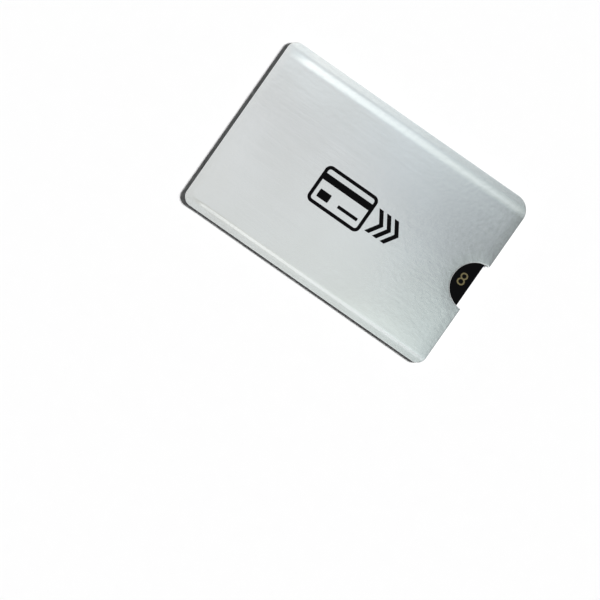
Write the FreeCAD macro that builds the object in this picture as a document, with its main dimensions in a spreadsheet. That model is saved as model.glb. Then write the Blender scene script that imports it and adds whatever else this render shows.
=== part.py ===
import FreeCAD, Part
import os
import Sketcher

# Shielding card sleeve with one card in it, in millimetres.
# X runs along the long side with the open mouth at +X, Y across, and Z up out of the front face.
# The origin lies under the middle of the sleeve, on the plane that its back face rests on.

SIZES = {
    # card
    "card_length": 85.60,
    "card_width": 53.98,
    "card_corner": 3.18,
    "overlay_film": 0.08,
    "print_sheet": 0.12,
    "core_sheet": 0.18,
    # films of the two walls, from outside to inside, and of the seams between them
    "cover_film": 0.20,
    "shield_foil": 0.06,
    "liner_film": 0.10,
    "seal_film": 0.10,
    # room around the card, and how far its end stays behind the mouth
    "face_gap": 0.15,
    "side_gap": 0.20,
    "end_gap": 0.20,
    "card_inset": 1.70,
    # rim, shoulder and corners of the sleeve, whose corner at the +Y end of the mouth is cut blunter
    "side_rim": 2.00,
    "end_rim": 2.00,
    "shoulder_run": 1.50,
    "rim_lift": 0.25,
    "pocket_corner": 0.70,
    "sleeve_corner": 3.20,
    "blunt_corner": 5.30,
    # thumb notch in the mouth
    "notch_radius": 7.90,
    "notch_wall": 0.10,
    "notch_shift": 0.80,
    # contact chip
    "chip_from_end": 15.10,
    "chip_from_side": 23.90,
    "pad_length": 5.60,
    "pad_width": 2.40,
    "pad_gap": 0.25,
    "pad_film": 0.05,
    "pad_recess": 0.01,
    "tape_margin": 0.60,
    "tape_clearance": 0.05,
    "capsule_length": 8.00,
    "capsule_width": 7.00,
    "capsule_clearance": 0.05,
    "capsule_floor": 0.06,
    # antenna
    "antenna_margin": 3.00,
    "antenna_pitch": 0.90,
    "antenna_track": 0.35,
    "antenna_film": 0.06,
    "antenna_corner": 2.50,
    "antenna_lead_offset": 2.20,
    "bridge_width": 0.80,
    "bridge_film": 0.06,
    # back of the card
    "stripe_width": 12.70,
    "stripe_from_edge": 4.75,
    "stripe_film": 0.03,
    "panel_length": 56.00,
    "panel_width": 8.00,
    "panel_gap": 2.50,
    "panel_shift": -8.00,
    # overrun of the shapes that are cut off at the outline
    "cut_margin": 5.00,
}

PAD_COLUMNS = 2
PAD_ROWS = 4
ANTENNA_TURNS = 4
# Shares of the run and of the rise of the shoulder, which is steep at the rim and levels off over the card
SHOULDER_SECTIONS = ((0.0, 0.0), (0.2, 0.3), (0.55, 0.8), (1.0, 1.0))

# Places that follow from the sizes
PLACES = {
    "card_end": "sizes.end_rim + sizes.shoulder_run + sizes.end_gap",
    "half_length": "(card_end + sizes.card_length + sizes.card_inset) / 2",
    "half_width": "sizes.card_width / 2 + sizes.side_gap + sizes.shoulder_run + sizes.side_rim",
    "pocket_start": "sizes.end_rim - half_length",
    "pocket_half_width": "half_width - sizes.side_rim",
    "foot_corner": "sizes.pocket_corner + sizes.shoulder_run",
    "seam_joint": "pocket_start + foot_corner + sizes.end_rim",
    "card_middle": "(card_end - sizes.card_inset) / 2",
    "wall": "sizes.cover_film + sizes.shield_foil + sizes.liner_film",
    "card_half_thickness": "sizes.overlay_film + sizes.print_sheet + sizes.core_sheet",
    "card_bottom": "wall + sizes.face_gap",
    "back_sheet_bottom": "card_bottom + sizes.overlay_film",
    "core_back_bottom": "back_sheet_bottom + sizes.print_sheet",
    "core_joint": "core_back_bottom + sizes.core_sheet",
    "front_sheet_bottom": "core_joint + sizes.core_sheet",
    "front_overlay_bottom": "front_sheet_bottom + sizes.print_sheet",
    "seam_middle": "card_bottom + card_half_thickness + sizes.rim_lift",
    "front_rim": "seam_middle + sizes.seal_film / 2",
    "back_rim": "seam_middle - sizes.seal_film / 2",
    "front_step": "card_bottom + 2 * card_half_thickness + sizes.face_gap - front_rim",
    "back_step": "back_rim - wall",
    "notch_middle": "half_length - sizes.notch_wall",
    "chip_x": "sizes.chip_from_end - sizes.card_length / 2",
    "chip_y": "sizes.card_width / 2 - sizes.chip_from_side",
    "pads_length": f"{PAD_COLUMNS} * sizes.pad_length + {PAD_COLUMNS - 1} * sizes.pad_gap",
    "pads_width": f"{PAD_ROWS} * sizes.pad_width + {PAD_ROWS - 1} * sizes.pad_gap",
    "tape_length": "pads_length + 2 * sizes.tape_margin",
    "tape_width": "pads_width + 2 * sizes.tape_margin",
    "tape_film": "sizes.overlay_film + sizes.print_sheet - sizes.pad_film - sizes.pad_recess",
    "capsule_depth": "2 * sizes.core_sheet - sizes.capsule_floor",
    "capsule_height": "capsule_depth - sizes.capsule_clearance",
    "antenna_half_length": "sizes.card_length / 2 - sizes.antenna_margin",
    "antenna_half_width": "sizes.card_width / 2 - sizes.antenna_margin",
    "capsule_start": "chip_x - sizes.capsule_length / 2",
    "stripe_y": "sizes.card_width / 2 - sizes.stripe_from_edge - sizes.stripe_width / 2",
    "panel_y": "stripe_y - sizes.stripe_width / 2 - sizes.panel_gap - sizes.panel_width / 2",
}

doc = FreeCAD.newDocument("card_sleeve")
nodes = []


def fill_sheet(name, cells):
    """Make a sheet with one aliased cell in each row."""
    sheet = doc.addObject("Spreadsheet::Sheet", name)
    for row, (alias, content) in enumerate(cells.items(), start=1):
        sheet.set(f"A{row}", alias)
        sheet.setAlias(f"B{row}", alias)
        sheet.set(f"B{row}", content)
    return sheet


sizes = fill_sheet("sizes", {alias: str(value) for alias, value in SIZES.items()})
places = fill_sheet("places", {alias: "=" + formula for alias, formula in PLACES.items()})
doc.recompute()


def number(expression):
    """Value of an expression of the sheets."""
    return float(sizes.evalExpression(expression))


def new_body(label, x="0", y="0", z="0"):
    """A body whose place is bound to three expressions."""
    body = doc.addObject("PartDesign::Body", label)
    body.Label = label
    for axis, expression in zip("xyz", (x, y, z)):
        body.setExpression(f"Placement.Base.{axis}", expression)
    nodes.append(body)
    return body


def new_sketch(body, name, height="0"):
    """A level sketch in a body at a height above the body's own origin."""
    sketch = body.newObject("Sketcher::SketchObject", name)
    level = next(plane for plane in body.Origin.OriginFeatures if plane.Role == "XY_Plane")
    sketch.AttachmentSupport = (level, [""])
    sketch.MapMode = "FlatFace"
    sketch.setExpression("AttachmentOffset.Base.z", height)
    return sketch


def bound(sketch, kind, *geometry, expression):
    """Add a constraint whose value follows an expression."""
    index = sketch.addConstraint(Sketcher.Constraint(kind, *geometry, number(expression)))
    sketch.setExpression(f"Constraints[{index}]", expression)


def draw(sketch, edges):
    """Draw a closed outline, counterclockwise, of level and upright edges.

    An edge is (direction, place, join): a level edge lies at a Y and an upright one at an X. The join to
    the next edge is None for a sharp corner, ("round", radius), or ("bow", x) for a half circle around
    that X between two level edges.
    """
    count = len(edges)
    value = [number(place) for _, place, _ in edges]
    corners = []
    for i, (direction, _, join) in enumerate(edges):
        following = value[(i + 1) % count]
        if join and join[0] == "bow":
            corners.append((number(join[1]), value[i], number(join[1]), following))
        else:
            x, y = (following, value[i]) if direction == "level" else (value[i], following)
            corners.append((x, y, x, y))
    lines = []
    for i, (direction, place, _) in enumerate(edges):
        start = FreeCAD.Vector(*corners[i - 1][2:], 0)
        end = FreeCAD.Vector(*corners[i][:2], 0)
        along = (end - start).normalize()
        before, after = edges[i - 1][2], edges[i][2]
        if before and before[0] == "round":
            start += along * number(before[1])
        if after and after[0] == "round":
            end -= along * number(after[1])
        line = sketch.addGeometry(Part.LineSegment(start, end))
        run, distance = ("Horizontal", "DistanceY") if direction == "level" else ("Vertical", "DistanceX")
        sketch.addConstraint(Sketcher.Constraint(run, line))
        bound(sketch, distance, -1, 1, line, 1, expression=place)
        lines.append((line, start, end, along))
    for i, (_, _, join) in enumerate(edges):
        line, _, end, along = lines[i]
        next_line, start, _, next_along = lines[(i + 1) % count]
        if join is None:
            sketch.addConstraint(Sketcher.Constraint("Coincident", line, 2, next_line, 1))
            continue
        if join[0] == "bow":
            middle, left_turn = (end + start) / 2, False
        else:
            middle, left_turn = end + next_along * number(join[1]), along.cross(next_along).z > 0
        first, last = (end, start) if left_turn else (start, end)
        arms = [first - middle, last - middle]
        level = FreeCAD.Vector(1, 0, 0)
        angles = [arm.getAngle(level) * (1 if arm.y >= 0 else -1) for arm in arms]
        circle = Part.Circle(middle, FreeCAD.Vector(0, 0, 1), arms[0].Length)
        arc = sketch.addGeometry(Part.ArcOfCircle(circle, *angles))
        entry, leave = (1, 2) if left_turn else (2, 1)
        sketch.addConstraint(Sketcher.Constraint("Tangent", line, 2, arc, entry))
        sketch.addConstraint(Sketcher.Constraint("Tangent", next_line, 1, arc, leave))
        if join[0] == "bow":
            bound(sketch, "DistanceX", -1, 1, arc, 3, expression=join[1])
        else:
            bound(sketch, "Radius", arc, expression=join[1])


def rectangle(length, width, x="0", y="0", corner=None):
    """Edges of a rectangle around (x, y)."""
    join = ("round", corner) if corner else None
    return [
        ("level", f"{y} - ({width}) / 2", join),
        ("upright", f"{x} + ({length}) / 2", join),
        ("level", f"{y} + ({width}) / 2", join),
        ("upright", f"{x} - ({length}) / 2", join),
    ]


def pad(body, edges, film, downward=False):
    """Thicken an outline at the body's own level."""
    sketch = new_sketch(body, "plan")
    draw(sketch, edges)
    feature = body.newObject("PartDesign::Pad", "sheet")
    feature.Profile = sketch
    feature.Reversed = downward
    feature.setExpression("Length", film)


def pocket(body, edges, top, depth):
    """Cut an outline down from a height above the body's own level."""
    sketch = new_sketch(body, "cut_plan", top)
    draw(sketch, edges)
    feature = body.newObject("PartDesign::Pocket", "cut")
    feature.Profile = sketch
    feature.setExpression("Length", depth)


def trim(body):
    """Cut away all that lies outside the sleeve's outline or in its thumb notch."""
    corner = ("round", "sizes.sleeve_corner")
    sketch = new_sketch(body, "outline", "sizes.cut_margin")
    draw(sketch, rectangle("2 * (places.half_length + 2 * sizes.cut_margin)",
                           "2 * (places.half_width + 2 * sizes.cut_margin)"))
    draw(sketch, [
        ("level", "-places.half_width", corner),
        ("upright", "places.half_length", None),
        ("level", "-sizes.notch_shift - sizes.notch_radius", ("bow", "places.notch_middle")),
        ("level", "-sizes.notch_shift + sizes.notch_radius", None),
        ("upright", "places.half_length", ("round", "sizes.blunt_corner")),
        ("level", "places.half_width", corner),
        ("upright", "-places.half_length", corner),
    ])
    feature = body.newObject("PartDesign::Pocket", "trim")
    feature.Profile = sketch
    feature.Type = "ThroughAll"


def pocket_outline(inset):
    """Edges of the card pocket, open at the mouth, at a share of the shoulder's run."""
    side = f"(places.pocket_half_width - {inset} * sizes.shoulder_run)"
    corner = ("round", f"sizes.pocket_corner + {1 - inset} * sizes.shoulder_run")
    return [
        ("level", f"-{side}", None),
        ("upright", "places.half_length + sizes.cut_margin", None),
        ("level", side, corner),
        ("upright", f"places.pocket_start + {inset} * sizes.shoulder_run", corner),
    ]


def form(body, kind, foot, rise):
    """Add or cut the raised pocket as a stack of outlines from its foot to its full rise."""
    sections = []
    for inset, share in SHOULDER_SECTIONS:
        sketch = new_sketch(body, "section", f"{foot} + {share} * ({rise})")
        draw(sketch, pocket_outline(inset))
        sections.append(sketch)
    loft = body.newObject(f"PartDesign::{kind}Loft", "shoulder")
    loft.Profile = sections[0]
    loft.Sections = sections[1:]
    loft.Ruled = True


def wall_layer(label, rim, rise, film, downward):
    """One film of a wall: flat on the rim, raised over the card, trimmed to the outline."""
    body = new_body(label, z=rim)
    far_side = f"-{film}" if downward else film
    pad(body, rectangle("2 * places.half_length", "2 * places.half_width"), film, downward)
    form(body, "Additive", far_side, rise)
    form(body, "Subtractive", "0", rise)
    trim(body)


# Walls of the sleeve
depth = "0"
for layer, film in (("liner", "liner_film"), ("shield_foil", "shield_foil"), ("cover", "cover_film")):
    wall_layer(f"front_{layer}", f"places.front_rim + {depth}", "places.front_step", f"sizes.{film}", False)
    wall_layer(f"back_{layer}", f"places.back_rim - ({depth})", "-places.back_step", f"sizes.{film}", True)
    depth += f" + sizes.{film}"

# Seams between the walls
foot = ("round", "places.foot_corner")
end_seal = new_body("end_seal", z="places.back_rim")
pad(end_seal, [
    ("level", "-places.half_width", None),
    ("upright", "places.seam_joint", None),
    ("level", "-places.pocket_half_width", foot),
    ("upright", "places.pocket_start", foot),
    ("level", "places.pocket_half_width", None),
    ("upright", "places.seam_joint", None),
    ("level", "places.half_width", None),
    ("upright", "-places.half_length", None),
], "sizes.seal_film")
trim(end_seal)
for label, side in (("left_seal", "1"), ("right_seal", "-1")):
    seal = new_body(label, z="places.back_rim")
    pad(seal, rectangle("places.half_length - places.seam_joint", "sizes.side_rim",
                        "(places.half_length + places.seam_joint) / 2",
                        f"{side} * (places.half_width - sizes.side_rim / 2)"), "sizes.seal_film")
    trim(seal)


def card_layer(label, bottom, film):
    """One sheet of the card, with the card's own outline."""
    body = new_body(label, x="places.card_middle", z=bottom)
    pad(body, rectangle("sizes.card_length", "sizes.card_width", corner="sizes.card_corner"), film)
    return body


def inlay(label, bottom, film, length, width, x, y):
    """A small flat piece of the card."""
    body = new_body(label, x="places.card_middle", z=bottom)
    pad(body, rectangle(length, width, x, y), film)
    return body


# Sheets of the card
back_overlay = card_layer("card_back_overlay", "places.card_bottom", "sizes.overlay_film")
card_layer("card_back_sheet", "places.back_sheet_bottom", "sizes.print_sheet")
core_back = card_layer("core_back_sheet", "places.core_back_bottom", "sizes.core_sheet")
core_front = card_layer("core_front_sheet", "places.core_joint", "sizes.core_sheet")
front_sheet = card_layer("card_front_sheet", "places.front_sheet_bottom", "sizes.print_sheet")
front_overlay = card_layer("card_front_overlay", "places.front_overlay_bottom", "sizes.overlay_film")

# Stripe and signature panel, let into the back of the card
for label, length, width, x, y in (
    ("magnetic_stripe", "sizes.card_length", "sizes.stripe_width", "0", "places.stripe_y"),
    ("signature_panel", "sizes.panel_length", "sizes.panel_width", "sizes.panel_shift", "places.panel_y"),
):
    inlay(label, "places.card_bottom", "sizes.stripe_film", length, width, x, y)
    pocket(back_overlay, rectangle(length, width, x, y), "sizes.stripe_film", "sizes.stripe_film")

# Contact chip, let into the front of the card
chip = ("places.chip_x", "places.chip_y")
window = rectangle("places.tape_length + 2 * sizes.tape_clearance",
                   "places.tape_width + 2 * sizes.tape_clearance", *chip)
well = rectangle("sizes.capsule_length + 2 * sizes.capsule_clearance",
                 "sizes.capsule_width + 2 * sizes.capsule_clearance", *chip)
pocket(front_overlay, window, "sizes.overlay_film", "sizes.overlay_film")
pocket(front_sheet, window, "sizes.print_sheet", "sizes.print_sheet")
pocket(core_front, well, "sizes.core_sheet", "sizes.core_sheet")
pocket(core_back, well, "sizes.core_sheet", "sizes.core_sheet - sizes.capsule_floor")
inlay("chip_carrier_tape", "places.front_sheet_bottom", "places.tape_film",
      "places.tape_length", "places.tape_width", *chip)
inlay("chip_capsule", "places.front_sheet_bottom - places.capsule_height", "places.capsule_height",
      "sizes.capsule_length", "sizes.capsule_width", *chip)
pads = []
first_x = "places.card_middle + places.chip_x - places.pads_length / 2"
first_y = "places.chip_y - places.pads_width / 2"
step_x = "(sizes.pad_length + sizes.pad_gap)"
step_y = "(sizes.pad_width + sizes.pad_gap)"
for column in range(PAD_COLUMNS):
    for row in range(PAD_ROWS):
        pad_box = doc.addObject("Part::Box", "contact_pad")
        pad_box.setExpression("Length", "sizes.pad_length")
        pad_box.setExpression("Width", "sizes.pad_width")
        pad_box.setExpression("Height", "sizes.pad_film")
        pad_box.setExpression("Placement.Base.x", f"{first_x} + {column} * {step_x}")
        pad_box.setExpression("Placement.Base.y", f"{first_y} + {row} * {step_y}")
        pad_box.setExpression("Placement.Base.z", "places.front_sheet_bottom + places.tape_film")
        pads.append(pad_box)
contacts = doc.addObject("Part::Compound", "chip_contacts")
contacts.Label = "chip_contacts"
contacts.Links = pads
nodes.append(contacts)


def coil_corners(shift):
    """Corner points of the antenna's spiral, moved inwards by a distance."""
    half_length = number("places.antenna_half_length") - shift
    half_width = number("places.antenna_half_width") - shift
    pitch = number("sizes.antenna_pitch")
    start_y = number("places.chip_y - sizes.antenna_lead_offset")
    end_y = number("places.chip_y + sizes.antenna_lead_offset") + shift
    points = [(-half_length, start_y)]
    for turn in range(ANTENNA_TURNS):
        x = half_length - turn * pitch
        y = half_width - turn * pitch
        points += [(-x, -y), (x, -y), (x, y), (pitch - x, y)]
    points += [(points[-1][0], end_y), (number("places.capsule_start"), end_y)]
    return [FreeCAD.Vector(x, y, 0) for x, y in points]


def rounded_path(points, radius):
    """Straight edges through the points, joined by arcs of one radius."""
    edges = []
    start = points[0]
    for before, corner, after in zip(points, points[1:], points[2:]):
        back = (before - corner).normalize()
        forth = (after - corner).normalize()
        entry = corner + back * radius
        leave = corner + forth * radius
        middle = entry + forth * radius
        bend = middle - (back + forth).normalize() * radius
        edges.append(Part.LineSegment(start, entry).toShape())
        edges.append(Part.Arc(entry, bend, leave).toShape())
        start = leave
    edges.append(Part.LineSegment(start, points[-1]).toShape())
    return edges


# Antenna: a flat track that winds inwards and ends at the chip, let into the back core sheet
half_track = number("sizes.antenna_track / 2")
bend_radius = number("sizes.antenna_corner")
outer_points = coil_corners(-half_track)
inner_points = coil_corners(half_track)
track = rounded_path(outer_points, bend_radius + half_track)
track += rounded_path(inner_points, bend_radius - half_track)
track.append(Part.LineSegment(outer_points[0], inner_points[0]).toShape())
track.append(Part.LineSegment(outer_points[-1], inner_points[-1]).toShape())
coil = doc.addObject("Part::Feature", "antenna_coil")
coil.Label = "antenna_coil"
coil.Shape = Part.Face(Part.Wire(Part.sortEdges(track)[0])).extrude(
    FreeCAD.Vector(0, 0, number("sizes.antenna_film")))
coil.Placement = FreeCAD.Placement(
    FreeCAD.Vector(number("places.card_middle"), 0, number("places.core_joint - sizes.antenna_film")),
    FreeCAD.Rotation())
nodes.append(coil)

# Strap from the coil's outer end, over its turns, to the chip, let into the front core sheet
bridge_y = "places.chip_y - sizes.antenna_lead_offset + sizes.bridge_width / 2"
bridge_start = "(-places.antenna_half_length - sizes.antenna_track / 2)"
bridge = new_body("antenna_bridge", x="places.card_middle", z="places.front_sheet_bottom")
pad(bridge, rectangle(f"places.capsule_start - {bridge_start}", "sizes.bridge_width",
                      f"(places.capsule_start + {bridge_start}) / 2", bridge_y), "sizes.bridge_film", True)
pad(bridge, rectangle("sizes.antenna_track", "sizes.bridge_width", "-places.antenna_half_length", bridge_y),
    "sizes.core_sheet", True)

# Core sheets with the antenna's channels
for label, sheet, insert in (("card_core_back", core_back, coil), ("card_core_front", core_front, bridge)):
    core = doc.addObject("Part::Cut", label)
    core.Label = label
    core.Base = sheet
    core.Tool = insert
    nodes.remove(sheet)
    nodes.append(core)

doc.recompute()
os.makedirs("parts", exist_ok=True)
for node in nodes:
    if "Invalid" in node.State or "Error" in node.State or node.Shape.isNull() or not node.Shape.isValid():
        raise RuntimeError(f"{node.Label} has no sound shape")
    node.Shape.exportStep(f"parts/{node.Label}.step")
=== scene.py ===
import math

import bpy
import numpy as np
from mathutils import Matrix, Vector


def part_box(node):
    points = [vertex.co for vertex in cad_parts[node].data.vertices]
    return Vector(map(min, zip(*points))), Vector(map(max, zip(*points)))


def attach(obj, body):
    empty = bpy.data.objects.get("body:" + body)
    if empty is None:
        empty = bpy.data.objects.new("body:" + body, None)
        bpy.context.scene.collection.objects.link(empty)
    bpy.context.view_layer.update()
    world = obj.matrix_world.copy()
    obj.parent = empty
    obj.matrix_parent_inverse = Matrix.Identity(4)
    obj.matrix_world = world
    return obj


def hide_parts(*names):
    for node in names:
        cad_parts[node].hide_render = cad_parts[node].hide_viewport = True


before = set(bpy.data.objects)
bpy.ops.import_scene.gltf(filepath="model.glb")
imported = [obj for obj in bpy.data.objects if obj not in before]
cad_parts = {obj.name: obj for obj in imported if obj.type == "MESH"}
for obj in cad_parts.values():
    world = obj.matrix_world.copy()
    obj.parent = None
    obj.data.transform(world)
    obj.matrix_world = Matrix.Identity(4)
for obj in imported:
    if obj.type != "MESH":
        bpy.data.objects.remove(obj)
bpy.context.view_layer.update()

# Lengths are in millimetres here and turned to metres where a mesh is filled.
MM = 0.001
COVER_FILM = 0.20
FOIL = 0.06
LINER_FILM = 0.10
SEAL_FILM = 0.10
WALL = COVER_FILM + FOIL + LINER_FILM
# Hair's gap that keeps the faces of neighbouring films apart
FILM_GAP = 0.004
SIDE_RIM = 2.0
END_RIM = 2.0
OUTLINE_CORNER = 3.2
BLUNT_CORNER = 5.3
NOTCH_RADIUS = 7.9
NOTCH_WALL = 0.1
NOTCH_SHIFT = -0.8
NOTCH_EASE = 0.25
POCKET_CORNER = 1.4


def corners(node):
    """Lowest and highest corner of a CAD node, in millimetres."""
    low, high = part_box(node)
    return np.array(low) / MM, np.array(high) / MM


_, COVER_HIGH = corners("front_cover")
HALF_LENGTH, HALF_WIDTH, COVER_TOP = COVER_HIGH
NOTCH_CENTRE = HALF_LENGTH - NOTCH_WALL
POCKET_END = -HALF_LENGTH + END_RIM
POCKET_SIDE = HALF_WIDTH - SIDE_RIM
FRONT_LINER_LOW, FRONT_LINER_HIGH = corners("front_liner")
BACK_LINER_LOW, _ = corners("back_liner")
FRONT_RIM = FRONT_LINER_LOW[2]
FRONT_PLATE = FRONT_LINER_HIGH[2] - LINER_FILM
BACK_PLATE = BACK_LINER_LOW[2] + LINER_FILM


# Shapes of the two walls

def ease(value):
    """Smooth step: 0 below 0, 1 above 1, level at both ends, 3t^2 - 2t^3 between."""
    t = np.clip(value, 0.0, 1.0)
    return t * t * (3.0 - 2.0 * t)


def bow(value):
    """Steep start that levels off: 1 - (1 - t)^6, as film pulled over an edge from a crease."""
    t = np.clip(value, 0.0, 1.0)
    return 1.0 - (1.0 - t) ** 6


def drape(value):
    """Smooth start and a long tail: 1 - (1 - t)^4 (1 + 4t), as film that hangs over a card's edge."""
    t = np.clip(value, 0.0, 1.0)
    return 1.0 - (1.0 - t) ** 4 * (1.0 + 4.0 * t)


# How far the side rims rise, and over what length up to the closed end
RIM_LIFT = 0.22
RIM_LIFT_REACH = 9.0
# How far the rims fall from the pocket's foot line to the cut edge
SIDE_FALL = 0.05
SIDE_FALL_CLOSED = 0.15
END_FALL = 0.015
# How far the mouth's lip is pressed towards the card, and how far in from its edge this reaches
LIP_DROP = 0.06
LIP_REACH = 4.5
# The front wall's steps, inwards from the foot lines: the broad one on the +Y side, whose start shifts in
# towards the closed end, and the narrow one on the -Y side
BROAD_START = -0.1
BROAD_START_SHIFT = 0.65
BROAD_STOP = 3.5
NARROW_START = -0.45
NARROW_RUN = 1.7
# The back wall's steps along the sides and at the closed end
BACK_START = -0.6
BACK_RUN = 3.4
BACK_END_RUN = 5.0
# Bow of the plates across the width
CROWN = 0.04
# Waves of the dents: height, the lengths that divide x and y, and phase
DENT_WAVES = (
    (0.030, 11.0, 17.0, 0.0),
    (0.016, 7.3, -9.1, 1.3),
    (0.012, 23.0, 4.9, 0.4),
)
DENT_DEPTH = sum(wave[0] for wave in DENT_WAVES)
# How far in from the foot lines the dents fade, and how much of them the back wall has
DENT_FADE_SIDE = 6.0
DENT_FADE_END = 12.0
BACK_DENT_SHARE = 0.4


def rim_lift(x):
    """How far the side rims stand above their level: a rise over the last few millimetres to the closed
    end, where the front wall runs out flat into the seam."""
    return RIM_LIFT * (1.0 - ease((x + HALF_LENGTH) / RIM_LIFT_REACH))


def insets(x, y):
    """Distance of a point inside the pocket's foot line at the closed end and at the nearer side."""
    return x - POCKET_END, POCKET_SIDE - np.abs(y)


def dents(x, y):
    """Slight hand-worn unevenness of the film: the sum of three long sine waves of different direction."""
    return sum(
        height * np.sin(x / along + y / across + phase)
        for height, along, across, phase in DENT_WAVES
    )


def lip(x, y):
    """How far a wall is pressed in near the mouth: the square of the nearness to the mouth's edge or to the
    notch's, so that the film bends more and more towards the cut."""
    off = np.hypot(np.minimum(x - NOTCH_CENTRE, 0.0), y - NOTCH_SHIFT) - NOTCH_RADIUS
    away = np.minimum(HALF_LENGTH - x, np.maximum(off, 0.0))
    return LIP_DROP * np.clip(1.0 - away / LIP_REACH, 0.0, 1.0) ** 2


def front_inside(x, y):
    """Height of the inner face of the front wall: the side rims' level, plus a step to the plate that rises
    as a smooth step away from the side foot lines, broad on the +Y side and narrow on the -Y side. The
    plate is slightly crowned, its lip is pressed in, and the rims fall outwards, on the +Y side more
    towards the closed end."""
    end, side = insets(x, y)
    closeness = (HALF_LENGTH - x) / (2.0 * HALF_LENGTH)
    start = BROAD_START + BROAD_START_SHIFT * closeness
    broad = ease((side - start) / (BROAD_STOP - start))
    narrow = ease((side - NARROW_START) / NARROW_RUN)
    rise = np.where(y > 0.0, broad, narrow)
    rim = FRONT_RIM + rim_lift(x)
    side_fall = np.where(y > 0.0, SIDE_FALL + (SIDE_FALL_CLOSED - SIDE_FALL) * closeness, SIDE_FALL)
    outward = np.clip(-np.stack([side, end]) / SIDE_RIM, 0.0, 1.0)
    fall = np.maximum(side_fall * outward[0], END_FALL * outward[1])
    across = np.clip(1.0 - (y / POCKET_SIDE) ** 2, 0.0, 1.0)
    uneven = CROWN * across + dents(x, y) * ease(side / DENT_FADE_SIDE)
    crown = uneven * ease(end / DENT_FADE_END) - lip(x, y)
    return rim + (FRONT_PLATE - rim + crown) * rise - fall


def back_inside(x, y):
    """Height of the inner face of the back wall: one seal below the front wall on the rims, with a step to
    the plate that hangs softly along the sides, and at the closed end falls steeply from a crease at the
    foot line and then levels off. The plate rises slightly to the sides and has the film's dents."""
    end, side = insets(x, y)
    fall = drape((side - BACK_START) / BACK_RUN) * bow(end / BACK_END_RUN)
    uneven = BACK_DENT_SHARE * (DENT_DEPTH + dents(x, y))
    uneven = uneven * ease(side / DENT_FADE_SIDE) * ease(end / DENT_FADE_END)
    hollow = CROWN * (y / POCKET_SIDE) ** 2 + uneven + lip(x, y)
    rim = front_inside(x, y) - SEAL_FILM
    return rim + (BACK_PLATE - rim + hollow) * fall


def corner_inset(past, corner):
    """How far a corner arc of this radius has come in at a distance past its start."""
    past = np.clip(past, 0.0, corner)
    return corner - np.sqrt(corner ** 2 - past ** 2)


def end_inset(y, corner):
    """How far the outline's end is set in at a distance from the middle line, by its corner arcs."""
    return corner_inset(np.abs(y) - (HALF_WIDTH - corner), corner)


def mouth_corner(y):
    """Radius of the outline's corner at the mouth, which is blunter on the +Y side."""
    return np.where(y > 0.0, BLUNT_CORNER, OUTLINE_CORNER)


def mouth_edge(y):
    """Where the mouth's edge lies: the outline's end, or the thumb notch's arc with short straight walls
    whose outer corners are eased."""
    off = np.abs(y - NOTCH_SHIFT)
    arc = NOTCH_CENTRE - np.sqrt(np.clip(NOTCH_RADIUS ** 2 - off ** 2, 0.0, None))
    past = np.clip((off - NOTCH_RADIUS) / NOTCH_EASE, 0.0, 1.0)
    shoulder = HALF_LENGTH - NOTCH_WALL * (1.0 - past) ** 3
    outline = HALF_LENGTH - end_inset(y, mouth_corner(y))
    return np.where(off < NOTCH_RADIUS, arc, np.minimum(shoulder, outline))


def edge_distances(x, y):
    """Distance from the rounded outline's cut edge and from the notch's."""
    corner = np.where(x > 0.0, mouth_corner(y), OUTLINE_CORNER)
    along = np.abs(x) - (HALF_LENGTH - corner)
    across = np.abs(y) - (HALF_WIDTH - corner)
    beyond = np.hypot(np.maximum(along, 0.0), np.maximum(across, 0.0))
    outline = corner - beyond - np.minimum(np.maximum(along, across), 0.0)
    off = np.abs(y - NOTCH_SHIFT)
    notch = np.where(x < NOTCH_CENTRE, np.hypot(x - NOTCH_CENTRE, off), off) - NOTCH_RADIUS
    return np.maximum(outline, 0.0), np.maximum(notch, 0.0)


def rolled(distance, width, depth):
    """Drop of a die-cut edge: a quarter ellipse that falls by depth over the last width."""
    t = np.clip(1.0 - distance / width, 0.0, 1.0)
    return depth * (1.0 - np.sqrt(1.0 - t * t))


# Distances of the grid's rows and columns from a cut edge: close at its roll and wider further in
EDGE_STEPS = np.array([0.0, 0.03, 0.07, 0.13, 0.21, 0.32, 0.46])
NOTCH_STEPS = np.array([0.0, 0.03, 0.08, 0.15, 0.25, 0.4, 0.7])
SIDE_STEPS = np.concatenate([EDGE_STEPS, np.arange(0.6, 6.4, 0.2), np.linspace(6.4, HALF_WIDTH, 24)])
END_STEPS = np.concatenate([EDGE_STEPS, np.arange(0.7, 6.0, 0.2), np.arange(6.4, 12.0, 0.8)])
MOUTH_STEPS = np.concatenate([EDGE_STEPS, np.arange(0.7, 4.0, 0.3), np.arange(4.4, 14.0, 0.9)])
MIDDLE_COLUMNS = 50
ARC_POINTS = 14


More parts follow.
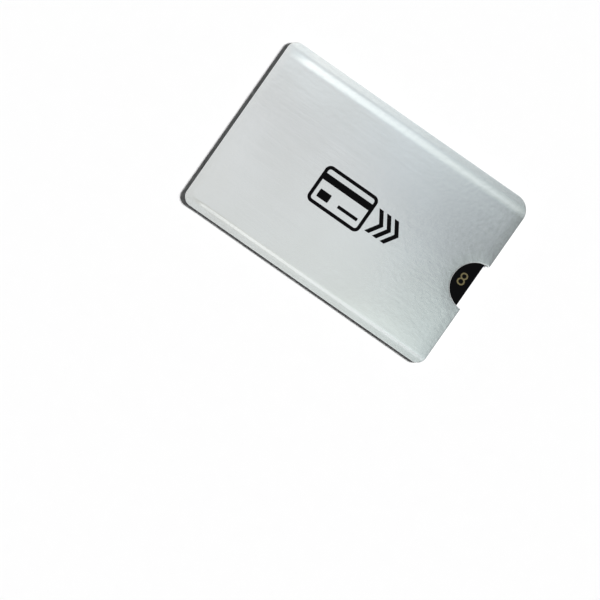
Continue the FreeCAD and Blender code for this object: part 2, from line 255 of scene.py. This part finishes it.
def wall_plan(stride):
    """Grid over the wall's outline. Rows run across the width, close together at the rims, the corner
    arcs and the notch. On each row the columns keep fixed distances from the closed end and from the
    mouth's edge near these, and share out what is between. With a stride the grid keeps only every so many
    of its rows and columns."""
    arc = np.sin(np.radians(np.linspace(0.0, 90.0, ARC_POINTS)))
    arc_steps = np.outer([OUTLINE_CORNER, BLUNT_CORNER], 1.0 - arc).ravel()
    half = HALF_WIDTH - np.concatenate([SIDE_STEPS, arc_steps])
    notch = np.concatenate([NOTCH_RADIUS * arc, NOTCH_RADIUS + NOTCH_STEPS])
    rows = np.concatenate([half, -half, NOTCH_SHIFT + notch, NOTCH_SHIFT - notch])
    rows = np.unique(np.round(rows, 2))
    rows = np.union1d(rows[::stride], rows[-1:])
    near_end = END_STEPS[::stride]
    near_mouth = MOUTH_STEPS[::stride]
    middle = np.linspace(0.0, 1.0, MIDDLE_COLUMNS)[::stride]
    middle[-1] = 1.0
    y = rows[:, None]
    closed = end_inset(y, OUTLINE_CORNER) - HALF_LENGTH
    mouth = mouth_edge(y)
    first = closed + near_end[-1]
    last = mouth - near_mouth[-1]
    x = np.concatenate([
        closed + near_end[:-1],
        first + (last - first) * middle,
        mouth - near_mouth[-2::-1],
    ], axis=1)
    return x, np.broadcast_to(y, x.shape)


# Meshes

# Edges that bend by more than this many degrees stay sharp
SHARP_ANGLE = 40.0
# Widths over which the weld's grit fades across the foot lines of the sides and of the closed end
SIDE_GRIT_FADE = 0.5
END_GRIT_FADE = 1.4


def fill_mesh(name, points, quads):
    """Object whose mesh has these points, given in millimetres, and four-sided faces."""
    mesh = bpy.data.meshes.new(name)
    mesh.vertices.add(len(points))
    mesh.vertices.foreach_set("co", (points * MM).astype(np.float32).ravel())
    mesh.loops.add(quads.size)
    mesh.loops.foreach_set("vertex_index", quads.astype(np.int32).ravel())
    mesh.polygons.add(len(quads))
    mesh.polygons.foreach_set("loop_start", np.arange(0, quads.size, 4, dtype=np.int32))
    mesh.update(calc_edges=True)
    mesh.validate()
    mesh.shade_smooth()
    mesh.set_sharp_from_angle(angle=math.radians(SHARP_ANGLE))
    piece = bpy.data.objects.new(name, mesh)
    bpy.context.scene.collection.objects.link(piece)
    return piece


def film(name, x, y, low, high, endless=False):
    """Closed film between two heights over one grid: the upper face, the lower face turned over, and
    strips along the sides of the grid. An endless film joins its last row to its first."""
    count = x.size
    points = np.concatenate([np.stack([x, y, z], axis=-1).reshape(-1, 3) for z in (low, high)])
    index = np.arange(count).reshape(x.shape)
    if endless:
        index = np.concatenate([index, index[:1]])
    face = np.stack([index[:-1, :-1], index[:-1, 1:], index[1:, 1:], index[1:, :-1]], axis=-1)
    face = face.reshape(-1, 4)
    edges = [(index[:-1, -1], index[1:, -1]), (index[1:, 0], index[:-1, 0])]
    if not endless:
        edges += [(index[0, :-1], index[0, 1:]), (index[-1, 1:], index[-1, :-1])]
    start, stop = np.concatenate(edges, axis=1)
    strip = np.stack([start, stop, stop + count, start + count], axis=-1)
    return fill_mesh(name, points, np.concatenate([face[:, ::-1], face + count, strip]))


def add_rim_mask(piece, end_weld):
    """Attribute on the points: 1 on the welded side rims, falling to 0 across the foot of the shoulder, and
    up to end_weld on the closed end's rim, whose weld is fainter on the front."""
    mesh = piece.data
    place = np.empty(len(mesh.vertices) * 3, dtype=np.float32)
    mesh.vertices.foreach_get("co", place)
    x, y, _ = place.reshape(-1, 3).T / MM
    end, side = insets(x, y)
    on_sides = 1.0 - ease(side / SIDE_GRIT_FADE + 0.5)
    on_end = end_weld * (1.0 - ease(end / END_GRIT_FADE + 0.5))
    mask = np.maximum(on_sides, on_end)
    layer = mesh.attributes.new("rim", "FLOAT", "POINT")
    layer.data.foreach_set("value", mask.astype(np.float32))


# Materials

def linear(code):
    """Linear colour of an sRGB hex value."""
    part = np.array([int(code[i:i + 2], 16) for i in (0, 2, 4)]) / 255.0
    part = np.where(part <= 0.04045, part / 12.92, ((part + 0.055) / 1.055) ** 2.4)
    return (*part.tolist(), 1.0)


def node(tree, kind, settings=None, values=None, links=None):
    """Adds a node, sets its properties and input values, and links other nodes' outputs to its inputs."""
    made = tree.nodes.new(kind)
    for key, value in (settings or {}).items():
        setattr(made, key, value)
    for key, value in (values or {}).items():
        made.inputs[key].default_value = value
    for key, (source, output) in (links or {}).items():
        tree.links.new(source.outputs[output], made.inputs[key])
    return made


def new_material(name):
    """Empty node material with its output."""
    material = bpy.data.materials.new(name)
    material.use_nodes = True
    tree = material.node_tree
    tree.nodes.clear()
    return material, tree, tree.nodes.new("ShaderNodeOutputMaterial")


def per_mm(length):
    """Texture scale, per metre, of a pattern whose features are this many millimetres apart."""
    return 1.0 / (length * MM)


def spread(tree, source, low, high, first, last):
    """Maps the range from low to high of a node's output onto the range from first to last."""
    return node(tree, "ShaderNodeMapRange", None, {1: low, 2: high, 3: first, 4: last}, {0: source})


def aluminised_film():
    """Polyester film with a brushed aluminium layer: a satin silver with fine lines along the length.
    The welded rim has the heated tool's fine grit, so it is rougher and looks paler."""
    material, tree, output = new_material("brushed_aluminised_film")
    place = node(tree, "ShaderNodeTexCoord")
    # Brush lines are about 0.05 mm apart on real film; 0.35 mm is the least that shows in the picture.
    stretched = node(tree, "ShaderNodeMapping", None, {"Scale": (per_mm(22.0), per_mm(0.35), per_mm(9.0))},
                     {"Vector": (place, "Object")})
    lines = node(tree, "ShaderNodeTexNoise", None, {"Scale": 1.0, "Detail": 4.0, "Roughness": 0.6},
                 {"Vector": (stretched, "Vector")})
    clouds = node(tree, "ShaderNodeTexNoise", None, {"Scale": per_mm(16.0), "Detail": 3.0},
                  {"Vector": (place, "Object")})
    grit = node(tree, "ShaderNodeTexNoise", None,
                {"Scale": per_mm(0.30), "Detail": 3.0, "Roughness": 0.7}, {"Vector": (place, "Object")})
    rim = node(tree, "ShaderNodeAttribute", {"attribute_name": "rim", "attribute_type": "GEOMETRY"})
    # Inputs 6 and 7 of a mix node are its two colours.
    tint = node(tree, "ShaderNodeMix", {"data_type": "RGBA"}, {6: linear("D6D9D8"), 7: linear("DDE1E2")},
                {0: (clouds, "Fac")})
    streak = spread(tree, (lines, "Fac"), 0.3, 0.7, 0.985, 1.015)
    brushed_tint = node(tree, "ShaderNodeMix", {"data_type": "RGBA", "blend_type": "MULTIPLY"}, {0: 1.0},
                        {6: (tint, 2), 7: (streak, "Result")})
    speckle = spread(tree, (grit, "Fac"), 0.35, 0.65, 0.90, 1.0)
    shade = node(tree, "ShaderNodeMix", {"data_type": "RGBA", "blend_type": "MULTIPLY"}, None,
                 {0: (rim, "Fac"), 6: (brushed_tint, 2), 7: (speckle, "Result")})
    satin = spread(tree, (lines, "Fac"), 0.25, 0.75, 0.20, 0.24)
    rough = node(tree, "ShaderNodeMapRange", None, {1: 0.0, 2: 1.0, 4: 0.27},
                 {0: (rim, "Fac"), 3: (satin, "Result")})
    # Thin sheet over a card is slightly uneven, with about 1.5 mm from crest to crest.
    ripple = node(tree, "ShaderNodeTexNoise", None, {"Scale": per_mm(1.5), "Detail": 2.0},
                  {"Vector": (place, "Object")})
    uneven = node(tree, "ShaderNodeBump", None, {"Strength": 1.0, "Distance": 0.022 * MM},
                  {"Height": (ripple, "Fac")})
    brushed = node(tree, "ShaderNodeBump", None, {"Strength": 0.06, "Distance": 0.05 * MM},
                   {"Height": (lines, "Fac"), "Normal": (uneven, "Normal")})
    weight = node(tree, "ShaderNodeMath", {"operation": "MULTIPLY"}, {1: 0.35}, {0: (rim, "Fac")})
    pressed = node(tree, "ShaderNodeBump", None, {"Distance": 0.05 * MM},
                   {"Strength": (weight, "Value"), "Height": (grit, "Fac"), "Normal": (brushed, "Normal")})
    shader = node(tree, "ShaderNodeBsdfPrincipled", None, {"Metallic": 1.0},
                  {"Base Color": (shade, 2), "Roughness": (rough, "Result"), "Normal": (pressed, "Normal")})
    tree.links.new(shader.outputs[0], output.inputs["Surface"])
    return material


def plain_finish(name, first, second, grain, roughness, metallic=0.0, bump=0.05, specular=0.5,
                 stretch=(1.0, 1.0, 1.0)):
    """Finish whose colour and roughness wander between two values with a fine grain of a real size, which
    is given in millimetres and divided by the stretch."""
    material, tree, output = new_material(name)
    place = node(tree, "ShaderNodeTexCoord")
    scale = tuple(per_mm(grain) * part for part in stretch)
    fitted = node(tree, "ShaderNodeMapping", None, {"Scale": scale}, {"Vector": (place, "Object")})
    noise = node(tree, "ShaderNodeTexNoise", None, {"Scale": 1.0, "Detail": 4.0, "Roughness": 0.6},
                 {"Vector": (fitted, "Vector")})
    colour = node(tree, "ShaderNodeMix", {"data_type": "RGBA"}, {6: linear(first), 7: linear(second)},
                  {0: (noise, "Fac")})
    rough = spread(tree, (noise, "Fac"), 0.25, 0.75, *roughness)
    bumped = node(tree, "ShaderNodeBump", None, {"Strength": bump, "Distance": 0.05 * MM},
                  {"Height": (noise, "Fac")})
    shader = node(tree, "ShaderNodeBsdfPrincipled", None,
                  {"Metallic": metallic, "Specular IOR Level": specular},
                  {"Base Color": (colour, 2), "Roughness": (rough, "Result"), "Normal": (bumped, "Normal")})
    tree.links.new(shader.outputs[0], output.inputs["Surface"])
    return material


def dress(piece, material):
    """Gives a piece its one material."""
    piece.data.materials.clear()
    piece.data.materials.append(material)


BRUSHED = aluminised_film()
# Rolled aluminium foil, seen only as a bright cut line between the films.
FOIL_FINISH = plain_finish("rolled_aluminium_foil", "D9DBDC", "E6E7E7", grain=0.4,
                           roughness=(0.22, 0.34), metallic=1.0, bump=0.08, stretch=(0.05, 1.0, 1.0))
# Milky polyethylene liner: waxy and slightly grey, with a soft wide gloss.
LINER_FINISH = plain_finish("milky_polyethylene_film", "D4D7D8", "E2E4E4", grain=1.2,
                            roughness=(0.32, 0.45), bump=0.04)
# Heat-melted seal between the walls: pale, with the cloudiness of plastic that has run.
SEAL_FINISH = plain_finish("melted_seal_film", "CBCFD0", "DDE0E0", grain=0.6, roughness=(0.40, 0.55),
                           bump=0.10)
# Clear vinyl over black print: deep black with a soft even gloss and the calender's faint grain.
BLACK_FACE = plain_finish("clear_vinyl_over_black_print", "040405", "070708", grain=0.25,
                          roughness=(0.42, 0.54), bump=0.03, specular=0.04)
# Black print under the clear vinyl, seen on the card's edge.
BLACK_PRINT = plain_finish("black_printed_vinyl", "060607", "0B0B0D", grain=0.25, roughness=(0.45, 0.6),
                           bump=0.03, specular=0.20)
# Clear vinyl over blue print: a deep royal blue with the same soft gloss.
BLUE_FACE = plain_finish("clear_vinyl_over_blue_print", "142452", "182B60", grain=0.25,
                         roughness=(0.34, 0.46), bump=0.03, specular=0.06)
# Blue print under the clear vinyl, seen on the card's edge.
BLUE_PRINT = plain_finish("blue_printed_vinyl", "14244F", "1A2C60", grain=0.25, roughness=(0.45, 0.6),
                          bump=0.03, specular=0.4)
# Opaque white vinyl core, seen as a line on the card's edge.
CORE = plain_finish("white_vinyl_core", "E4E4DF", "EDEDE8", grain=0.3, roughness=(0.42, 0.55), bump=0.05)
# Etched copper tracks, slightly dulled.
COPPER = plain_finish("etched_copper", "B5714B", "C78257", grain=0.2, roughness=(0.28, 0.42),
                      metallic=1.0, bump=0.08)
# Gold plate on the contact pads: warm, bright, with a faint rolled grain.
GOLD = plain_finish("gold_plated_contacts", "D8B765", "E6C97C", grain=0.15, roughness=(0.20, 0.32),
                    metallic=1.0, bump=0.05, stretch=(0.1, 1.0, 1.0))
# Glass-fibre tape under the contacts, tan with a visible weave-like grain.
TAPE = plain_finish("glass_fibre_tape", "8C7A4C", "A08D5C", grain=0.18, roughness=(0.5, 0.65), bump=0.12)
# Moulded black epoxy over the die.
RESIN = plain_finish("black_epoxy", "131314", "1C1C1E", grain=0.12, roughness=(0.45, 0.6), bump=0.10)
# Magnetic oxide stripe: brown-black and smoother along the length than across it.
STRIPE = plain_finish("magnetic_oxide", "17120F", "231B16", grain=0.2, roughness=(0.30, 0.42), bump=0.05,
                      specular=0.45, stretch=(0.05, 1.0, 1.0))
# Matt paper-like writing panel.
PANEL = plain_finish("matt_writing_panel", "E3E1D8", "EFEDE5", grain=0.2, roughness=(0.75, 0.9),
                     bump=0.15, specular=0.2)
# Screen-printed ink on the film: dense black, matt, with slightly uneven laydown.
INK = plain_finish("black_screen_ink", "030304", "080809", grain=0.3, roughness=(0.55, 0.7), bump=0.08,
                   specular=0.04)
# Hot-stamped gold and silver foil numerals.
GOLD_LEAF = plain_finish("stamped_gold_leaf", "6E6548", "8C8160", grain=0.3, roughness=(0.34, 0.48),
                         metallic=1.0, bump=0.05)
SILVER_LEAF = plain_finish("stamped_silver_leaf", "B4BBC8", "CDD3DD", grain=0.3, roughness=(0.30, 0.45),
                           metallic=1.0, bump=0.05)

for name, finish in {
    "card_front_overlay": BLACK_FACE,
    "card_front_sheet": BLACK_PRINT,
    "card_core_front": CORE,
    "card_core_back": CORE,
    "card_back_sheet": BLUE_PRINT,
    "card_back_overlay": BLUE_FACE,
    "antenna_coil": COPPER,
    "antenna_bridge": COPPER,
    "chip_contacts": GOLD,
    "chip_carrier_tape": TAPE,
    "chip_capsule": RESIN,
    "magnetic_stripe": STRIPE,
    "signature_panel": PANEL,
}.items():
    dress(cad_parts[name], finish)


# Films of the two walls and the seams between them

# Width and depth of the roll that the die leaves on the outer film's edge, at the outline and at the notch
OUTLINE_ROLL = (0.18, 0.06)
NOTCH_ROLL = (0.30, 0.075)
# Strength of the weld's grit at the closed end
FRONT_END_WELD = 0.7
BACK_END_WELD = 1.0


def wall(side, face, outward, end_weld, films):
    """Films of one wall, each between two distances outward from the wall's inner face. The outer film's
    cut edge is rolled, as a die leaves it."""
    for name, start, stop, finish, slot, stride, roll in films:
        x, y = wall_plan(stride)
        inside = face(x, y)
        near = inside + outward * (start + FILM_GAP)
        outline, notch = edge_distances(x, y)
        drop = roll * np.maximum(rolled(outline, *OUTLINE_ROLL), rolled(notch, *NOTCH_ROLL))
        far = inside + outward * (stop - drop)
        low, high = (near, far) if outward > 0 else (far, near)
        piece = film(f"{side}_{name}", x, y, low, high)
        add_rim_mask(piece, end_weld)
        dress(piece, finish)
        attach(piece, "sleeve")
        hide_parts(f"{side}_{name}")


# Name, start and stop outwards from the inner face, finish, slot, stride of the grid and share of the roll
FILMS = [
    ("liner", 0.0, LINER_FILM, LINER_FINISH, "liner_film", 2, 0.0),
    ("shield_foil", LINER_FILM, LINER_FILM + FOIL, FOIL_FINISH, "foil", 2, 0.0),
    ("cover", LINER_FILM + FOIL, WALL, BRUSHED, "brushed_film", 1, 1.0),
]
wall("front", front_inside, 1.0, FRONT_END_WELD, FILMS)
wall("back", back_inside, -1.0, BACK_END_WELD, FILMS)

# Where the parts of a seam's path start: the first turn, the closed end, the second turn and the run back
FIRST_TURN = 0.40
END_RUN = 0.45
SECOND_TURN = 0.55
RUN_BACK = 0.60
# The side seams stop just short of the turns, and at the mouth just short of where the corner's arc meets
# the foot line
SIDE_SEAM_STOP = 0.398
SEAM_SETBACK = 0.06
SEAM_POINTS = 90
SEAM_ACROSS = 5


def passed(distance, first, last):
    """Share, 0 to 1, of the stretch between two distances that has been passed."""
    return np.clip((distance - first) / (last - first), 0.0, 1.0)


def seam_path(distance, half_length, half_width, corner, reach):
    """Points along a U: from the mouth down the -Y side, round the closed end and back along the +Y
    side, with rounded corners. The distance runs from 0 to 1 and is shared so that both outlines of
    the seam are passed together."""
    quarter = np.pi / 2
    side = passed(distance, 0.0, FIRST_TURN)
    turn_a = passed(distance, FIRST_TURN, END_RUN) * quarter
    end = passed(distance, END_RUN, SECOND_TURN)
    turn_b = passed(distance, SECOND_TURN, RUN_BACK) * quarter
    back = passed(distance, RUN_BACK, 1.0)
    run = reach + half_length - corner
    x = reach - run * side - corner * np.sin(turn_a) + corner * (1.0 - np.cos(turn_b)) + run * back
    y = (
        -half_width
        + corner * (1.0 - np.cos(turn_a))
        + 2.0 * (half_width - corner) * end
        + corner * np.sin(turn_b)
    )
    return x, y


def seam(name, along, corner):
    """Melted seam between the walls: a ribbon from the outline to the pocket's foot line, carried along
    a U path, that fills the space from the back wall's inner face to the front wall's. Its outer side
    follows the outline's corner arc at the mouth, and it runs out where this meets the foot line."""
    across = np.linspace(0.0, 1.0, SEAM_ACROSS)[None, :]
    reach = HALF_LENGTH - corner + math.sqrt(corner ** 2 - (corner - SIDE_RIM) ** 2) - SEAM_SETBACK
    outer_x, outer_y = seam_path(along[:, None], HALF_LENGTH, HALF_WIDTH, OUTLINE_CORNER, reach)
    inner_x, inner_y = seam_path(along[:, None], -POCKET_END, POCKET_SIDE, POCKET_CORNER, reach)
    outer_y -= np.sign(outer_y) * corner_inset(outer_x - (HALF_LENGTH - corner), corner)
    x = outer_x + (inner_x - outer_x) * across
    y = outer_y + (inner_y - outer_y) * across
    piece = film(name, x, y, back_inside(x, y) + FILM_GAP, front_inside(x, y) - FILM_GAP)
    dress(piece, SEAL_FINISH)
    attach(piece, "sleeve")
    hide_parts(name)


# Close together near the mouth, where the corner's arc is
SIDE_SEAM = SIDE_SEAM_STOP * np.linspace(0.0, 1.0, SEAM_POINTS) ** 2
seam("right_seal", SIDE_SEAM, OUTLINE_CORNER)
seam("end_seal", np.linspace(FIRST_TURN, RUN_BACK, SEAM_POINTS), OUTLINE_CORNER)
seam("left_seal", 1.0 - SIDE_SEAM[::-1], BLUNT_CORNER)


# Print on the sleeve and the card

# Height of the ink on the film, and how deep it sits in it
INK_FILM = 0.018
INK_SINK = 0.01
# Share of a block's width by which its ends bow
BLOCK_BOW = 0.075
# Middle of the mark
MARK_X = 1.3
MARK_Y = -1.6
# Points of the mark's grids: along an outline's corner, a band and a block, and across each
CORNER_POINTS = 13
CORNER_ACROSS = 4
BAND_POINTS = 25
BAND_ACROSS = 5
BLOCK_POINTS = 12
BLOCK_ACROSS = 7


def print_on_front(name, x, y, endless=False):
    """Ink lying on the front wall: a film over the grid that follows the wall's outer face."""
    top = front_inside(x, y) + WALL
    piece = film(name, x, y, top - INK_SINK, top + INK_FILM, endless)
    dress(piece, INK)
    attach(piece, "sleeve")


def ring(name, centre_x, centre_y, length, width, corner, stroke):
    """Frame: a band of even width carried once round a rounded rectangle."""
    quarter = np.linspace(0.0, np.pi / 2, CORNER_POINTS)
    turn = np.concatenate([quarter + part * np.pi / 2 for part in range(4)])
    right = np.repeat([1.0, -1.0, -1.0, 1.0], len(quarter))
    upper = np.repeat([1.0, 1.0, -1.0, -1.0], len(quarter))
    reach = corner - np.linspace(stroke, 0.0, CORNER_ACROSS)[None, :]
    x = centre_x + right[:, None] * (length / 2 - corner) + reach * np.cos(turn)[:, None]
    y = centre_y + upper[:, None] * (width / 2 - corner) + reach * np.sin(turn)[:, None]
    print_on_front(name, x, y, endless=True)


def block(name, centre_x, centre_y, length, width):
    """Filled rectangle with slightly bowed ends."""
    along = np.linspace(-0.5, 0.5, BLOCK_POINTS)[None, :]
    across = np.linspace(-0.5, 0.5, BLOCK_ACROSS)[:, None]
    x = centre_x + (length - BLOCK_BOW * width * (2.0 * across) ** 4) * along
    print_on_front(name, *np.broadcast_arrays(x, centre_y + width * across))


def chevron(name, tip_x, centre_y, reach, half_height, stroke):
    """Arrow mark: a band bent at the middle, its tip towards the mouth."""
    across = np.linspace(-1.0, 1.0, BAND_POINTS)[:, None]
    band = np.linspace(0.0, 1.0, BAND_ACROSS)[None, :]
    x = tip_x - reach * np.abs(across) - stroke * (1.0 - band)
    print_on_front(name, *np.broadcast_arrays(x, centre_y + half_height * across))


ring("mark_card_outline", MARK_X - 5.6, MARK_Y, length=19.6, width=13.2, corner=2.0, stroke=1.15)
block("mark_card_band", MARK_X - 5.6, MARK_Y + 2.7, length=17.6, width=2.3)
block("mark_card_corner", MARK_X - 10.9, MARK_Y - 2.6, length=4.2, width=2.8)
block("mark_card_line", MARK_X - 1.8, MARK_Y - 2.9, length=7.4, width=1.1)
for order, tip in enumerate((9.8, 12.7, 15.6)):
    chevron(f"mark_arrow_{order + 1}", MARK_X + tip, MARK_Y, reach=2.7, half_height=4.2, stroke=1.6)

# Half the thickness of a numeral, how far its outline is moved, and how far its middle stands off the card
NUMERAL_HALF = 0.008
NUMERAL_THINNING = -0.05
NUMERAL_LIFT = 0.006


def numerals(name, body, place, size, spacing, turn, face_up, finish):
    """Row of plain numerals as a thin printed film on the card: a text's mesh, turned and placed."""
    curve = bpy.data.curves.new(name, "FONT")
    curve.body = body
    curve.size = size * MM
    curve.space_character = spacing
    curve.align_x = "RIGHT"
    curve.align_y = "CENTER"
    curve.extrude = NUMERAL_HALF * MM
    curve.offset = NUMERAL_THINNING * MM
    curve.resolution_u = 8
    text = bpy.data.objects.new(name, curve)
    bpy.context.scene.collection.objects.link(text)
    bpy.context.view_layer.update()
    mesh = bpy.data.meshes.new_from_object(text.evaluated_get(bpy.context.evaluated_depsgraph_get()))
    bpy.data.objects.remove(text)
    point = np.empty(len(mesh.vertices) * 3, dtype=np.float32)
    mesh.vertices.foreach_get("co", point)
    across, up, out = point.reshape(-1, 3).T.astype(float)
    if not face_up:
        across, out = -across, -out
    angle = math.radians(turn)
    placed = np.stack([
        place[0] * MM + across * math.cos(angle) - up * math.sin(angle),
        place[1] * MM + across * math.sin(angle) + up * math.cos(angle),
        place[2] * MM + out,
    ], axis=-1)
    mesh.vertices.foreach_set("co", placed.astype(np.float32).ravel())
    mesh.update()
    piece = bpy.data.objects.new(name, mesh)
    bpy.context.scene.collection.objects.link(piece)
    dress(piece, finish)
    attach(piece, "card")


CARD_TOP = corners("card_front_overlay")[1][2]
CARD_UNDER = corners("card_back_overlay")[0][2]
numerals("card_numerals_front", "1234 5678", (42.2, -0.9, CARD_TOP + NUMERAL_LIFT), size=6.2, spacing=1.6,
         turn=0.0, face_up=True, finish=GOLD_LEAF)
numerals("card_numerals_back", "1234", (40.6, -4.3, CARD_UNDER - NUMERAL_LIFT), size=3.2, spacing=1.0,
         turn=90.0, face_up=False, finish=SILVER_LEAF)


# Floor, light and camera

FLOOR_HALF = 2500.0
FLOOR_LOW = -5.0
FLOOR_TOP = -0.01
FLOOR_LINES = 9
# The picture spans 187 mm at the front wall's height and is seen from straight above.
FRAME_WIDTH = 187.0
PICTURE_MIDDLE = (2.9, -35.1)
PICTURE_TURN = 35.0
LENS = 120.0
SENSOR = 36.0
# Strength of the key light, and the angle in degrees that it fills as seen from the sleeve
KEY_STRENGTH = 4.5
KEY_ANGLE = 13.0
WHITE = "FFFFFF"
WARM = "FFEEDC"
COOL = "EAF0FF"
DAYLIGHT = "F1FEFD"
# Softboxes: name, watts, shade, size in metres, tilt and turn in degrees, and distance in metres
SOFTBOXES = (
    ("far_right_box", 0.04, WHITE, 0.16, 28.0, 55.0, 0.45),
    ("near_right_box", 0.042, DAYLIGHT, 0.16, 26.0, 55.0, 0.28),
    ("upper_box", 0.06, WARM, 0.16, 28.0, 100.0, 0.45),
    ("near_upper_box", 0.028, COOL, 0.16, 12.0, 100.0, 0.28),
    ("upper_left_box", 0.11, WHITE, 0.26, 28.0, 145.0, 0.45),
    ("near_left_box", 0.023, WARM, 0.16, 12.0, 190.0, 0.28),
    ("lower_left_box", 0.065, WHITE, 0.16, 28.0, 235.0, 0.45),
    ("near_lower_left_box", 0.018, DAYLIGHT, 0.16, 12.0, 235.0, 0.28),
    ("lower_box", 0.055, DAYLIGHT, 0.16, 14.0, 280.0, 0.45),
    ("overhead_box", 0.002, WHITE, 0.06, 6.0, 40.0, 0.28),
)


def lay_floor():
    """Plain white floor under the sleeve, a grid of flat faces."""
    line = np.linspace(-FLOOR_HALF, FLOOR_HALF, FLOOR_LINES)
    x, y = np.meshgrid(line, line)
    floor = film("floor", x, y, np.full_like(x, FLOOR_LOW), np.full_like(x, FLOOR_TOP))
    # Matt white paper with no gloss.
    paper = plain_finish("white_paper", "F6F6F6", "F8F8F8", grain=6.0, roughness=(0.85, 0.95), bump=0.0,
                         specular=0.0)
    dress(floor, paper)
    return floor


def towards(tilt, turn):
    """Direction to a lamp: a tilt from straight up, and a turn from the picture's right towards its top."""
    spin = math.radians(turn + PICTURE_TURN)
    lean = math.radians(tilt)
    return Vector((math.sin(lean) * math.cos(spin), math.sin(lean) * math.sin(spin), math.cos(lean)))


def hang_lamp(name, kind, energy, tilt, turn, reach):
    """Lamp that hangs in a direction from the sleeve and faces it."""
    lamp = bpy.data.lights.new(name, kind)
    lamp.energy = energy
    holder = bpy.data.objects.new(name, lamp)
    bpy.context.scene.collection.objects.link(holder)
    way = towards(tilt, turn)
    holder.location = way * reach
    holder.rotation_euler = way.to_track_quat("Z", "Y").to_euler()
    holder.visible_camera = False
    return lamp


def light_studio(floor):
    """Key light from the picture's right that throws the short shadow and shows in no reflection, softboxes
    all round and one overhead that only the sleeve and card catch, and a white room, dim overhead."""
    kept_off = bpy.data.collections.new("kept_off_softboxes")
    kept_off.objects.link(floor)
    kept_off.collection_objects[0].light_linking.link_state = "EXCLUDE"
    key = hang_lamp("key", "SUN", KEY_STRENGTH, tilt=45.0, turn=0.0, reach=1.0)
    key.angle = math.radians(KEY_ANGLE)
    bpy.data.objects["key"].visible_glossy = False
    for name, watts, shade, size, tilt, turn, reach in SOFTBOXES:
        lamp = hang_lamp(name, "AREA", watts, tilt, turn, reach)
        lamp.size = size
        lamp.color = linear(shade)[:3]
        bpy.data.objects[name].light_linking.receiver_collection = kept_off
    world = bpy.data.worlds.new("studio")
    bpy.context.scene.world = world
    world.use_nodes = True
    tree = world.node_tree
    tree.nodes.clear()
    path = node(tree, "ShaderNodeLightPath")
    place = node(tree, "ShaderNodeTexCoord")
    split = node(tree, "ShaderNodeSeparateXYZ", None, None, {0: (place, "Generated")})
    # The room is white up to 44 degrees from straight up, and from there dims to a tenth overhead.
    room = node(tree, "ShaderNodeMapRange", {"interpolation_type": "SMOOTHSTEP"},
                {1: 0.72, 2: 0.99, 3: 1.0, 4: 0.1}, {0: (split, "Z")})
    # Only the camera and reflections see the room; as a light it adds a faint fill.
    mirrored = node(tree, "ShaderNodeMath", {"operation": "MAXIMUM"}, None,
                    {0: (path, "Is Glossy Ray"), 1: (path, "Is Transmission Ray")})
    seen = node(tree, "ShaderNodeMath", {"operation": "MAXIMUM"}, None,
                {0: (path, "Is Camera Ray"), 1: (mirrored, "Value")})
    level = node(tree, "ShaderNodeMapRange", None, {1: 0.0, 2: 1.0, 3: 0.055},
                 {0: (seen, "Value"), 4: (room, "Result")})
    sky = node(tree, "ShaderNodeBackground", None, {"Color": (1.0, 1.0, 1.0, 1.0)},
               {"Strength": (level, "Result")})
    node(tree, "ShaderNodeOutputWorld", None, None, {"Surface": (sky, "Background")})


def place_camera():
    """Camera over the picture's middle, turned so that the sleeve lies at 35 degrees."""
    lens = bpy.data.cameras.new("camera")
    lens.lens = LENS
    lens.sensor_width = SENSOR
    lens.clip_end = 10.0
    camera = bpy.data.objects.new("camera", lens)
    bpy.context.scene.collection.objects.link(camera)
    camera.location = Vector((*PICTURE_MIDDLE, COVER_TOP + FRAME_WIDTH * LENS / SENSOR)) * MM
    camera.rotation_euler = (0.0, 0.0, math.radians(PICTURE_TURN))
    bpy.context.scene.camera = camera


light_studio(lay_floor())
place_camera()
bpy.context.scene.view_settings.view_transform = "Standard"
